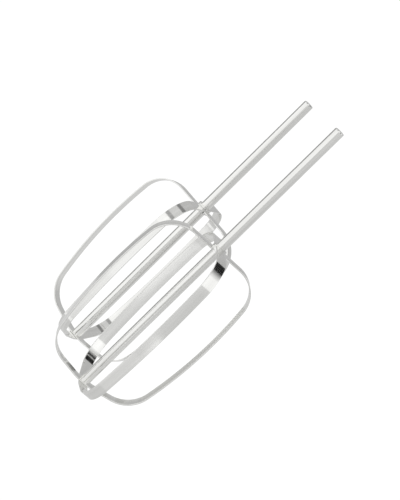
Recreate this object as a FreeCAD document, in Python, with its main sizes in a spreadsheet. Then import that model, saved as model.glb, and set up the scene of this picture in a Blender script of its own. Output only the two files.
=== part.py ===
"""A pair of hand-mixer beaters: two strip hoops each, crossed and riveted on a straight steel shaft.

Each beater is drawn once in its own frame, with the underside of its outer hoop at height 0 and its
shaft along +Z. The pair is then placed with the middle of the front shaft's top end at the origin,
so both hang below it, as they do when their shafts are pushed up into a mixer.
"""
import FreeCAD, Part

import math
import os

import Sketcher

V = FreeCAD.Vector
START, END, CENTRE = 1, 2, 3      # the points of a sketch line or arc
H_AXIS, V_AXIS = -1, -2           # a sketch's own axes
ORIGIN = (H_AXIS, START)

# Driving dimensions in millimetres and degrees: (alias, value, what it is).
DIMENSIONS = [
    ("shaft_diameter", 6.0, "round rod"),
    ("front_length", 197.6, "front beater, underside of its outer hoop to the rod's top end"),
    ("rear_length", 190.8, "rear beater, the same"),
    ("end_chamfer", 0.4, "edge of the rod's top end"),
    ("drive_diameter", 5.9, "the rod's top end, sized to slide into a socket"),
    ("drive_length", 30.0, "length of that end"),
    ("drive_ease", 1.0, "length over which it widens to the full rod"),
    ("tenon_diameter", 3.4, "thin end of the rod, through both strips"),
    ("rivet_diameter", 5.4, "peened head under the outer hoop"),
    ("rivet_height", 0.9, "height of the peened head"),
    ("rivet_rounding", 0.7, "rounded edge of the peened head"),
    ("strip_width", 6.4, "flat strip of the hoops"),
    ("strip_thickness", 0.8, "flat strip of the hoops"),
    ("strip_rounding", 0.25, "rolled long edges of the strip"),
    ("lap_gap", 0.05, "air between the two lapped ends of a strip"),
    ("eye_diameter", 8.6, "round end of a strip, about the shaft"),
    ("eye_hole_diameter", 6.1, "hole in that end, for the shaft"),
    ("cage_height", 108.8, "underside to top of the outer hoop"),
    ("cage_radius", 37.0, "shaft axis to the outer hoop's outside"),
    ("widest_height", 62.0, "where the hoop is widest"),
    ("side_radius", 260.0, "gentle bow of the hoop's sides"),
    ("shoulder_radius", 19.0, "upper corners of the hoop"),
    ("foot_radius", 19.0, "lower corners of the hoop"),
    ("rise_angle", 10.5, "rise of the underside from its flat middle"),
    ("bend_radius", 20.0, "bend between the flat middle and the rise"),
    ("flat_half_length", 3.6, "half of the flat middle, over the rivet"),
    ("rear_aside", -8.6, "rear shaft from the front one, along X"),
    ("rear_behind", 50.6, "rear shaft from the front one, along Y"),
    ("rear_turn", -33.0, "rear beater, turned about its shaft"),
]

doc = FreeCAD.newDocument("MixerBeaters")
sheet = doc.addObject("Spreadsheet::Sheet", "Dimensions")
for row, (alias, value, note) in enumerate(DIMENSIONS, start=1):
    sheet.set(f"A{row}", alias)
    sheet.set(f"B{row}", str(value))
    sheet.set(f"C{row}", note)
    sheet.setAlias(f"B{row}", alias)
doc.recompute()


def size(alias):
    """A driving dimension, read back from the sheet."""
    return float(sheet.get(alias))


def bind(obj, prop, expression):
    """Ties a property to the sheet; names in braces are aliases."""
    obj.setExpression(prop, expression.replace("{", "Dimensions.").replace("}", ""))


def new_body(label):
    body = doc.addObject("PartDesign::Body", label)
    body.Label = label
    return body


def new_sketch(body, name, role, height=None):
    """A sketch on one of the body's own origin planes, raised along its normal if asked."""
    sketch = body.newObject("Sketcher::SketchObject", name)
    plane = next(f for f in body.Origin.OriginFeatures if f.Role == role)
    sketch.AttachmentSupport = [(plane, "")]
    sketch.MapMode = "FlatFace"
    if height:
        bind(sketch, "AttachmentOffset.Base.z", height)
    return sketch


def dimension(sketch, expression, kind, *where):
    """Adds a driving constraint, whose last argument is its first value, and ties it to the sheet."""
    index = sketch.addConstraint(Sketcher.Constraint(kind, *where))
    bind(sketch, f"Constraints[{index}]", expression)


def circle_pad(body, name, diameter, height, length, cut=False):
    """A round disc standing up from a height, or a round hole cut down from it."""
    sketch = new_sketch(body, name + "_circle", "XY_Plane", height)
    sketch.addGeometry(Part.Circle(V(0, 0, 0), V(0, 0, 1), size(diameter) / 2), False)
    sketch.addConstraint(Sketcher.Constraint("Coincident", 0, CENTRE, *ORIGIN))
    dimension(sketch, "{" + diameter + "}", "Diameter", 0, size(diameter))
    disc = body.newObject("PartDesign::Pocket" if cut else "PartDesign::Pad", name)
    disc.Profile = sketch
    bind(disc, "Length", length)
    sketch.Visibility = False
    doc.recompute()


def revolve(body, name, corners):
    """Turns a closed outline about Z. Each corner is (radius, height), as a value and an expression."""
    sketch = new_sketch(body, name + "_outline", "XZ_Plane")
    points = [V(radius[0], height[0], 0) for radius, height in corners]
    count = len(points)
    for i in range(count):
        sketch.addGeometry(Part.LineSegment(points[i], points[(i + 1) % count]), False)
    for i in range(count):
        sketch.addConstraint(Sketcher.Constraint("Coincident", i, END, (i + 1) % count, START))
    for i, (radius, height) in enumerate(corners):
        for kind, (value, expression) in (("DistanceX", radius), ("DistanceY", height)):
            if expression:
                dimension(sketch, expression, kind, *ORIGIN, i, START, value)
            elif kind == "DistanceX":
                sketch.addConstraint(Sketcher.Constraint("PointOnObject", i, START, V_AXIS))
            else:
                sketch.addConstraint(Sketcher.Constraint("PointOnObject", i, START, H_AXIS))
    turned = body.newObject("PartDesign::Revolution", name)
    turned.Profile = sketch
    turned.ReferenceAxis = (sketch, ["V_Axis"])
    turned.Angle = 360
    sketch.Visibility = False
    doc.recompute()
    return turned


def round_edge(shape, radius, height):
    """Name of the circular edge about Z with this radius at this height."""
    for i, edge in enumerate(shape.Edges, start=1):
        curve = edge.Curve
        if isinstance(curve, Part.Circle) and abs(curve.Radius - radius) + abs(curve.Center.z - height) < 0.01:
            return f"Edge{i}"
    raise RuntimeError("no such round edge")


def make_shaft(label, length):
    """The rod: its thin end passes through both strips and is peened over under the outer hoop."""
    rod, drive, tenon, rivet = (size(a) / 2 for a in ("shaft_diameter", "drive_diameter",
                                                      "tenon_diameter", "rivet_diameter"))
    shoulder = 2 * size("strip_thickness")
    on_axis, level = (0.0, None), (0.0, None)
    rod_side = (rod, "{shaft_diameter} / 2")
    tenon_side = (tenon, "{tenon_diameter} / 2")
    rivet_side = (rivet, "{rivet_diameter} / 2")
    foot = (-size("rivet_height"), "-{rivet_height}")
    shoulder_height = (shoulder, "2 * {strip_thickness}")
    top = (size(length), "{" + length + "}")
    drive_side = (drive, "{drive_diameter} / 2")
    drive_foot = (top[0] - size("drive_length"), top[1] + " - {drive_length}")
    rod_top = (drive_foot[0] - size("drive_ease"), drive_foot[1] + " - {drive_ease}")

    body = new_body(label)
    turned = revolve(body, label + "_rod", [
        (on_axis, foot), (rivet_side, foot), (rivet_side, level), (tenon_side, level),
        (tenon_side, shoulder_height), (rod_side, shoulder_height), (rod_side, rod_top),
        (drive_side, drive_foot), (drive_side, top), (on_axis, top)])

    head = body.newObject("PartDesign::Fillet", label + "_head")
    head.Base = (turned, [round_edge(turned.Shape, rivet, foot[0])])
    bind(head, "Radius", "{rivet_rounding}")
    doc.recompute()
    end = body.newObject("PartDesign::Chamfer", label + "_end")
    end.Base = (head, [round_edge(head.Shape, drive, top[0])])
    bind(end, "Size", "{end_chamfer}")
    return body


def polar(centre, radius, degrees):
    angle = math.radians(degrees)
    return V(centre.x + radius * math.cos(angle), centre.y + radius * math.sin(angle), 0)


def direction(start, finish):
    """Angle in degrees of the way from one point to another."""
    return math.degrees(math.atan2(finish.y - start.y, finish.x - start.x))


def hoop_half(path, side, inset, top_value, top_height):
    """Half of a hoop's centre line, from its lapped end down to the flat middle of its foot.

    side is +1 or -1. The half is a level line, a shoulder arc, a bowed side, a foot arc, the rising
    underside and a bend, each tangent to the next.
    """
    def radius(alias):
        return size(alias) - inset[0]

    shoulder, bow, foot, bend = (radius(a) for a in
                                 ("shoulder_radius", "side_radius", "foot_radius", "bend_radius"))
    rise = size("rise_angle")
    flat = size("flat_half_length")
    bow_centre = V(size("cage_radius") - size("side_radius"), size("widest_height"), 0)
    shoulder_y = top_value - shoulder
    shoulder_x = bow_centre.x + math.sqrt((bow - shoulder) ** 2 - (shoulder_y - bow_centre.y) ** 2)
    shoulder_centre = V(shoulder_x, shoulder_y, 0)
    bend_centre = V(flat, inset[0] + bend, 0)
    rise_start = polar(bend_centre, bend, rise - 90)
    # The foot arc's centre lies one foot radius above the rising line and inside the bowed side.
    along = V(math.cos(math.radians(rise)), math.sin(math.radians(rise)), 0)
    above = rise_start + V(-along.y, along.x, 0) * foot
    to_bow = above - bow_centre
    half_b = along.dot(to_bow)
    reach = -half_b + math.sqrt(half_b ** 2 - to_bow.dot(to_bow) + (bow - foot) ** 2)
    foot_centre = above + along * reach
    upper = direction(bow_centre, shoulder_centre)
    lower = direction(bow_centre, foot_centre)

    def mirror(point):
        return V(side * point.x, point.y, 0)

    def add_arc(centre, r, from_angle, to_angle):
        if side < 0:
            from_angle, to_angle = 180 - to_angle, 180 - from_angle
        circle = Part.Circle(mirror(centre), V(0, 0, 1), r)
        return path.addGeometry(
            Part.ArcOfCircle(circle, math.radians(from_angle), math.radians(to_angle)), False)

    top_line = path.addGeometry(Part.LineSegment(
        V(0, top_value, 0), mirror(V(shoulder_centre.x, top_value, 0))), False)
    shoulder_arc = add_arc(shoulder_centre, shoulder, upper, 90)
    bow_arc = add_arc(bow_centre, bow, lower, upper)
    foot_arc = add_arc(foot_centre, foot, rise - 90, lower)
    rise_line = path.addGeometry(Part.LineSegment(
        mirror(rise_start), mirror(polar(foot_centre, foot, rise - 90))), False)
    bend_arc = add_arc(bend_centre, bend, -90, rise - 90)

    first, last = (START, END) if side > 0 else (END, START)    # an arc's lower and upper points
    path.addConstraint([
        Sketcher.Constraint("Horizontal", top_line),
        Sketcher.Constraint("PointOnObject", top_line, START, V_AXIS),
        Sketcher.Constraint("Tangent", top_line, END, shoulder_arc, last),
        Sketcher.Constraint("Tangent", shoulder_arc, first, bow_arc, last),
        Sketcher.Constraint("Tangent", bow_arc, first, foot_arc, last),
        Sketcher.Constraint("Tangent", foot_arc, first, rise_line, END),
        Sketcher.Constraint("Tangent", rise_line, START, bend_arc, last),
    ])
    dimension(path, top_height, "DistanceY", *ORIGIN, top_line, START, top_value)
    for arc, alias, value in ((shoulder_arc, "shoulder_radius", shoulder), (bow_arc, "side_radius", bow),
                              (foot_arc, "foot_radius", foot), (bend_arc, "bend_radius", bend)):
        dimension(path, "{" + alias + "} - " + inset[1], "Radius", arc, value)
    ends = [*ORIGIN, bow_arc, CENTRE] if side < 0 else [bow_arc, CENTRE, *ORIGIN]
    dimension(path, "{side_radius} - {cage_radius}", "DistanceX", *ends, -bow_centre.x)
    dimension(path, "{widest_height}", "DistanceY", *ORIGIN, bow_arc, CENTRE, bow_centre.y)
    slope = "{rise_angle}" if side > 0 else "180 - {rise_angle}"
    dimension(path, slope, "Angle", rise_line, math.radians(rise if side > 0 else 180 - rise))
    return bend_arc, first


def make_hoop(label, nested):
    """One flat strip bent to a ring in its XZ plane, its two ends lapped at the top about the shaft.

    A nested hoop is smaller all round by one strip thickness, so that it lies inside the other one
    where they cross: on its foot at the bottom, and under its two laps at the top.
    """
    thick, gap = size("strip_thickness"), size("lap_gap")
    layers = 1 if nested else 0
    inset = ((layers + 0.5) * thick, f"{layers + 0.5} * {{strip_thickness}}")
    lap_step = (2 * thick + gap, "(2 * {strip_thickness} + {lap_gap})")
    top = (size("cage_height") - layers * lap_step[0], f"({{cage_height}} - {layers} * {lap_step[1]})")
    upper = (top[0] - thick / 2, top[1] + " - {strip_thickness} / 2")
    lower = (upper[0] - thick - gap, upper[1] + " - {strip_thickness} - {lap_gap}")

    body = new_body(label)
    path = new_sketch(body, label + "_path", "XZ_Plane")
    right_bend, right_foot = hoop_half(path, 1, inset, *upper)
    left_bend, left_foot = hoop_half(path, -1, inset, *lower)
    flat = size("flat_half_length")
    middle = path.addGeometry(Part.LineSegment(V(-flat, inset[0], 0), V(flat, inset[0], 0)), False)
    path.addConstraint([
        Sketcher.Constraint("Tangent", middle, START, left_bend, left_foot),
        Sketcher.Constraint("Tangent", middle, END, right_bend, right_foot),
        Sketcher.Constraint("Horizontal", middle),
    ])
    dimension(path, "{flat_half_length}", "DistanceX", *ORIGIN, middle, END, flat)
    dimension(path, "{flat_half_length}", "DistanceX", middle, START, *ORIGIN, flat)
    dimension(path, inset[1], "DistanceY", *ORIGIN, middle, END, inset[0])

    section = new_sketch(body, label + "_section", "YZ_Plane")
    half_width = size("strip_width") / 2
    corners = [V(y, z, 0) for y, z in ((-half_width, upper[0] - thick / 2), (half_width, upper[0] - thick / 2),
                                       (half_width, upper[0] + thick / 2), (-half_width, upper[0] + thick / 2))]
    for i in range(4):
        section.addGeometry(Part.LineSegment(corners[i], corners[(i + 1) % 4]), False)
    for i in range(4):
        section.addConstraint(Sketcher.Constraint("Coincident", i, END, (i + 1) % 4, START))
        section.addConstraint(Sketcher.Constraint("Vertical" if i % 2 else "Horizontal", i))
    dimension(section, "{strip_width} / 2", "DistanceX", *ORIGIN, 1, START, half_width)
    dimension(section, "{strip_width} / 2", "DistanceX", 3, START, *ORIGIN, half_width)
    dimension(section, top[1], "DistanceY", *ORIGIN, 2, START, top[0])
    dimension(section, "{strip_thickness}", "DistanceY", 1, START, 1, END, thick)

    doc.recompute()
    ring = body.newObject("PartDesign::AdditivePipe", label + "_ring")
    ring.Profile = section
    ring.Spine = path
    doc.recompute()
    rim = [f"Edge{i}" for i, edge in enumerate(ring.Shape.Edges, start=1)
           if all(abs(abs(v.Point.y) - half_width) < 1e-3 for v in edge.Vertexes)
           and abs(edge.CenterOfMass.y) > half_width - 1e-3
           and edge.Vertexes[0].Point.distanceToPoint(edge.Vertexes[-1].Point) > thick * 1.5]
    rolled = body.newObject("PartDesign::Fillet", label + "_rolled")
    rolled.Base = (ring, rim)
    bind(rolled, "Radius", "{strip_rounding}")
    doc.recompute()

    circle_pad(body, label + "_upper_eye", "eye_diameter", upper[1] + " - {strip_thickness} / 2",
               "{strip_thickness}")
    circle_pad(body, label + "_lower_eye", "eye_diameter", lower[1] + " - {strip_thickness} / 2",
               "{strip_thickness}")
    circle_pad(body, label + "_shaft_hole", "eye_hole_diameter", top[1], lap_step[1], cut=True)
    circle_pad(body, label + "_tenon_hole", "tenon_diameter", inset[1] + " + {strip_thickness} / 2",
               "{strip_thickness}", cut=True)
    return body


def place(body, turn, aside, behind, length):
    """Hangs a piece below the plane of the front shaft's top end."""
    bind(body, "Placement.Rotation.Angle", turn)
    body.Placement = FreeCAD.Placement(V(0, 0, 0), FreeCAD.Rotation(V(0, 0, 1), 0))
    bind(body, "Placement.Base.x", aside)
    bind(body, "Placement.Base.y", behind)
    bind(body, "Placement.Base.z", length)


def make_beater(name, aside, behind, turn, crossing):
    """The three pieces of one beater, placed. Its outer hoop crosses the inner one, turned by crossing."""
    pieces = {
        make_shaft(name + "_shaft", name + "_length"): turn,
        make_hoop(name + "_outer_hoop", nested=False): turn + crossing,
        make_hoop(name + "_inner_hoop", nested=True): turn,
    }
    for body, piece_turn in pieces.items():
        place(body, piece_turn, aside, behind, "-{front_length}")
    return list(pieces)


# The outer hoop's upper lap faces forward on the front beater and backward on the rear one.
parts = make_beater("front", "0", "0", "0", " - 90")
parts += make_beater("rear", "{rear_aside}", "{rear_behind}", "{rear_turn}", " + 90")
doc.recompute()

for obj in doc.Objects:
    if "Invalid" in obj.State or "Error" in obj.State:
        raise RuntimeError(f"{obj.Name}: {obj.State}")
os.makedirs("parts", exist_ok=True)
for body in parts:
    if body.Shape.isNull() or not body.Shape.isValid() or len(body.Shape.Solids) != 1:
        raise RuntimeError(f"{body.Label}: not one valid solid")
    print(body.Label, round(body.Shape.Volume, 2), "mm3")
    body.Shape.exportStep(f"parts/{body.Label}.step")
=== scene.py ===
import math

import bpy
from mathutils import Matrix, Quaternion, Vector


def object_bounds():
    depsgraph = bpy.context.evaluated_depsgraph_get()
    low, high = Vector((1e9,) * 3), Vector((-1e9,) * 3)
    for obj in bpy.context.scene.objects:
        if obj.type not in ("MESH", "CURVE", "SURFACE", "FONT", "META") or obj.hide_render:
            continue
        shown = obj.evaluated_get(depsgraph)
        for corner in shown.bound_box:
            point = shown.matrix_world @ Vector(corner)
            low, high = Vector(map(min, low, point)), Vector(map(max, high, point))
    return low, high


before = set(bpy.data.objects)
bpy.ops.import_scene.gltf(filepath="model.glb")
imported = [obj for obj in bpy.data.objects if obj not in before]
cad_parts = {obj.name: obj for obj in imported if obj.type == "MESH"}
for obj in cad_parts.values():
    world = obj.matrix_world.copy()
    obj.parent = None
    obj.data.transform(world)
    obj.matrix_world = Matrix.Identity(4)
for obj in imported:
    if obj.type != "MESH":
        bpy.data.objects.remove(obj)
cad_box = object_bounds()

# The front beater's shaft is the Z axis, and its inner hoop lies in the XZ plane.
LOW, HIGH = cad_box
MIDDLE = (LOW + HIGH) / 2
REAR_TURN = math.radians(-33)    # the rear beater, turned about its own shaft
SKY = 1.13                       # brightness of the plain white surroundings
FLOOR_DROP = 0.45                # from the object's lowest point down to the floor, in metres
FLOOR_SIZE = 60                  # metres
LINE_DEPTH = 0.000002            # metres, of the fine drawn lines in the steel
DARK_STEEL = (0.76, 0.76, 0.742)
LIGHT_STEEL = (0.90, 0.90, 0.882)
ACROSS, ALONG = 900, 12          # pattern per metre, across the drawn lines and along them
STRIP_ROUGHNESS = (0.08, 0.13)   # where it is cleanest and where it is most smudged
ROD_ROUGHNESS = (0.08, 0.14)
FLOOR_COLOUR = (0.93, 0.93, 0.93)


# ---------------------------------------------------------------- node helpers

def new_material(name):
    """A material that holds one Principled shader, with its node tree and that shader."""
    material = bpy.data.materials.new(name)
    material.use_nodes = True
    tree = material.node_tree
    tree.nodes.clear()
    output = tree.nodes.new("ShaderNodeOutputMaterial")
    shader = tree.nodes.new("ShaderNodeBsdfPrincipled")
    tree.links.new(shader.outputs["BSDF"], output.inputs["Surface"])
    return material, tree, shader


def noise(tree, vector, scale, detail=2.0, distortion=0.0):
    """A noise value at the given position, mostly between 0.3 and 0.7."""
    node = tree.nodes.new("ShaderNodeTexNoise")
    node.inputs["Scale"].default_value = scale
    node.inputs["Detail"].default_value = detail
    node.inputs["Distortion"].default_value = distortion
    tree.links.new(vector, node.inputs["Vector"])
    return node.outputs["Fac"]


def stretched(tree, turn, stretch):
    """The position in the CAD frame, turned about Z and then stretched along each axis."""
    position = tree.nodes.new("ShaderNodeTexCoord").outputs["Object"]
    rotate = tree.nodes.new("ShaderNodeVectorRotate")
    rotate.rotation_type = "Z_AXIS"
    rotate.inputs["Angle"].default_value = -turn
    tree.links.new(position, rotate.inputs["Vector"])
    scale = tree.nodes.new("ShaderNodeVectorMath")
    scale.operation = "MULTIPLY"
    scale.inputs[1].default_value = stretch
    tree.links.new(rotate.outputs["Vector"], scale.inputs[0])
    return scale.outputs["Vector"]


def remap(tree, value, low, high):
    """A noise value's usual spread, 0.3 to 0.7, brought to the range low to high."""
    node = tree.nodes.new("ShaderNodeMapRange")
    node.inputs["From Min"].default_value = 0.3
    node.inputs["From Max"].default_value = 0.7
    node.inputs["To Min"].default_value = low
    node.inputs["To Max"].default_value = high
    tree.links.new(value, node.inputs["Value"])
    return node.outputs["Result"]


def add(tree, first, second):
    """The sum of two values."""
    node = tree.nodes.new("ShaderNodeMath")
    node.operation = "ADD"
    tree.links.new(first, node.inputs[0])
    tree.links.new(second, node.inputs[1])
    return node.outputs["Value"]


def tint(tree, value, dark, light, start=0.35, end=0.65):
    """A colour that runs from dark to light as the value runs from start to end."""
    node = tree.nodes.new("ShaderNodeValToRGB")
    low, high = node.color_ramp.elements
    low.position, low.color = start, (*dark, 1)
    high.position, high.color = end, (*light, 1)
    tree.links.new(value, node.inputs["Fac"])
    return node.outputs["Color"]


def bump(tree, shader, height, strength, distance):
    """Raises the shader's surface by height, at most distance metres."""
    node = tree.nodes.new("ShaderNodeBump")
    node.inputs["Strength"].default_value = strength
    node.inputs["Distance"].default_value = distance
    tree.links.new(height, node.inputs["Height"])
    tree.links.new(node.outputs["Normal"], shader.inputs["Normal"])


# ---------------------------------------------------------------- steels

def steel(name, turn, grain, roughness):
    """Polished stainless steel: fine drawn lines, soft smudges and a slight unevenness of tone.

    grain stretches the pattern: the large numbers lie across the drawn lines, the small ones along.
    """
    material, tree, shader = new_material(name)
    shader.inputs["Metallic"].default_value = 1.0
    even = stretched(tree, turn, (1.0, 1.0, 1.0))
    lines = noise(tree, stretched(tree, turn, grain), 1.0, detail=3.0)
    smudge = noise(tree, even, 90.0, detail=3.0, distortion=0.6)
    wider = [0.3 * g + 8 for g in grain]
    bands = noise(tree, stretched(tree, turn, wider), 1.0, detail=1.0)
    tone = add(tree, remap(tree, bands, 0.10, 0.55), remap(tree, lines, 0.05, 0.30))
    tree.links.new(tint(tree, tone, DARK_STEEL, LIGHT_STEEL, 0.2, 0.8), shader.inputs["Base Color"])
    polish = add(tree, remap(tree, smudge, *roughness), remap(tree, lines, 0.0, 0.03))
    tree.links.new(polish, shader.inputs["Roughness"])
    bump(tree, shader, lines, 0.3, LINE_DEPTH)
    return material


def paint(nodes, material):
    """Gives each named CAD node this one material."""
    for node in nodes:
        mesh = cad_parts[node].data
        mesh.materials.clear()
        mesh.materials.append(material)


# The lines run along a strip, so they are close across the hoop's plane and long within it. On a rod
# they run along Z.
for beater, turn in (("front", 0.0), ("rear", REAR_TURN)):
    outer_steel = steel(f"{beater}_outer_strip", turn, (ACROSS, ALONG, ALONG), STRIP_ROUGHNESS)
    inner_steel = steel(f"{beater}_inner_strip", turn, (ALONG, ACROSS, ALONG), STRIP_ROUGHNESS)
    paint([f"{beater}_outer_hoop"], outer_steel)
    paint([f"{beater}_inner_hoop"], inner_steel)
rod_steel = steel("drawn_rod", 0.0, (ACROSS, ACROSS, 0.75 * ALONG), ROD_ROUGHNESS)
paint(["front_shaft", "rear_shaft"], rod_steel)


# ---------------------------------------------------------------- studio

def matt(name, colour):
    """A matt surface with a faint grain."""
    material, tree, shader = new_material(name)
    grain = noise(tree, stretched(tree, 0.0, (1, 1, 1)), 12.0)
    darker = [0.99 * c for c in colour]
    tree.links.new(tint(tree, grain, darker, colour), shader.inputs["Base Color"])
    shader.inputs["Roughness"].default_value = 0.9
    shader.inputs["Specular IOR Level"].default_value = 0.0
    return material


def flat_panel(name, width, height, material):
    """A flat rectangle in its own XY plane that belongs to the studio, not to the object."""
    mesh = bpy.data.meshes.new(name)
    w, h = width / 2, height / 2
    mesh.from_pydata([(-w, -h, 0), (w, -h, 0), (w, h, 0), (-w, h, 0)], [], [(0, 1, 2, 3)])
    mesh.materials.append(material)
    panel = bpy.data.objects.new(name, mesh)
    bpy.context.collection.objects.link(panel)
    return panel


def around(azimuth, elevation, distance):
    """A place round the object's middle. Azimuth 0 is on the -Y side and 90 on the +X side."""
    a, e = math.radians(azimuth), math.radians(elevation)
    away = Vector((math.sin(a) * math.cos(e), -math.cos(a) * math.cos(e), math.sin(e)))
    return MIDDLE + distance * away


def aim(obj, place):
    """Puts something at a place, facing the object's middle."""
    obj.location = place
    obj.rotation_mode = "QUATERNION"
    obj.rotation_quaternion = (MIDDLE - place).to_track_quat("-Z", "Y")


def card_face(name, low, high):
    """A plain glowing face whose tone runs from low at the foot of the card to high at its head."""
    material, tree, shader = new_material(name)
    if low == high:
        shader.inputs["Emission Color"].default_value = (low, low, low, 1)
    else:
        place = tree.nodes.new("ShaderNodeTexCoord").outputs["Generated"]
        split = tree.nodes.new("ShaderNodeSeparateXYZ")
        tree.links.new(place, split.inputs["Vector"])
        shade = tint(tree, split.outputs["Y"], (low,) * 3, (high,) * 3, 0.2, 0.8)
        tree.links.new(shade, shader.inputs["Emission Color"])
    shader.inputs["Emission Strength"].default_value = SKY
    shader.inputs["Base Color"].default_value = (0, 0, 0, 1)
    shader.inputs["Specular IOR Level"].default_value = 0.0
    return material


def card(name, azimuth, elevation, distance, width, height, low, high, lean=0.0):
    """A card beside the object that only shows in the steel. It may lean, in degrees."""
    panel = flat_panel(name, width, height, card_face(name, low, high))
    for ray in ("camera", "diffuse", "shadow", "transmission", "volume_scatter"):
        setattr(panel, "visible_" + ray, False)
    aim(panel, around(azimuth, elevation, distance))
    panel.rotation_quaternion @= Quaternion((0, 0, 1), math.radians(lean))


floor = flat_panel("floor", FLOOR_SIZE, FLOOR_SIZE, matt("pale_floor", FLOOR_COLOUR))
floor.location.z = LOW.z - FLOOR_DROP

world = bpy.data.worlds.new("studio")
world.use_nodes = True
bpy.context.scene.world = world
background = world.node_tree.nodes["Background"]
background.inputs["Color"].default_value = (1, 1, 1, 1)
background.inputs["Strength"].default_value = SKY

# The cards stand round the beaters, open at the left and above the front, with a dark one overhead
# and one lying underneath. The narrow slip close in front gives the far strip its lighter side.
# Each is (name, azimuth, elevation, distance, width, height, tone of its foot, tone of its head) and
# the slip's lean: degrees, metres and shares of the sky's brightness.
CARDS = (
    ("card_front", 4, -5, 1.1, 1.15, 0.96, 0.61, 0.66),
    ("card_front_low", 19, -44, 0.72, 0.50, 0.44, 0.66, 0.69),
    ("card_front_slip", 15.9, -27.2, 0.253, 0.0085, 0.048, 1.15, 1.15, 11.5),
    ("card_left_low", -55, -40, 0.75, 0.50, 0.45, 0.66, 0.85),
    ("card_right", 59, -5, 1.1, 1.10, 0.96, 0.58, 0.58),
    ("card_right_back", 107, -2, 1.1, 0.90, 1.06, 0.66, 0.52),
    ("card_back_right", 148, -13, 1.1, 0.95, 0.52, 0.58, 0.58),
    ("card_back", -168, -17, 1.1, 0.80, 0.68, 0.38, 0.46),
    ("card_back_left", -134, -13, 1.1, 0.70, 0.52, 0.30, 0.30),
    ("card_high_back", 144, 26, 1.3, 1.25, 1.45, 0.47, 0.47),
    ("card_high_left", -166, 33, 1.3, 1.40, 2.10, 0.50, 0.50),
    ("card_left_band", -62, 40, 1.3, 1.2, 0.28, 0.36, 0.36),
    ("card_left_top", -92, 60, 1.25, 2.0, 0.62, 0.64, 0.64),
    ("card_overhead", 124.6, 69.7, 1.28, 0.66, 0.64, 0.015, 0.015),
    ("card_top_left", -128, 73, 1.15, 0.28, 0.34, 0.22, 0.22),
    ("card_high_front", 44, 66, 1.35, 0.80, 0.42, 0.80, 0.25),
    ("card_under", 127, -78, 0.46, 2.8, 2.8, 0.61, 0.61),
)
for settings in CARDS:
    card(*settings)

bpy.context.scene.view_settings.view_transform = "Standard"


# ---------------------------------------------------------------- camera

# The camera looks down a little from the front left, rolled so that the beaters lie aslant.
AZIMUTH, ELEVATION, ROLL = math.radians(16.0), math.radians(13.2), math.radians(45.6)
DISTANCE = 0.834                             # metres from the camera to its target
TARGET = Vector((-0.0007, 0.0225, -0.1029))
LENS = 109.3                                 # millimetres
forward = Vector((math.sin(AZIMUTH) * math.cos(ELEVATION), math.cos(AZIMUTH) * math.cos(ELEVATION),
                  -math.sin(ELEVATION)))
camera_data = bpy.data.cameras.new("camera")
camera_data.lens = LENS
camera_data.clip_end = 100
camera = bpy.data.objects.new("camera", camera_data)
bpy.context.collection.objects.link(camera)
camera.location = TARGET - forward * DISTANCE
camera.rotation_mode = "QUATERNION"
camera.rotation_quaternion = forward.to_track_quat("-Z", "Y") @ Quaternion((0, 0, 1), ROLL)
bpy.context.scene.camera = camera
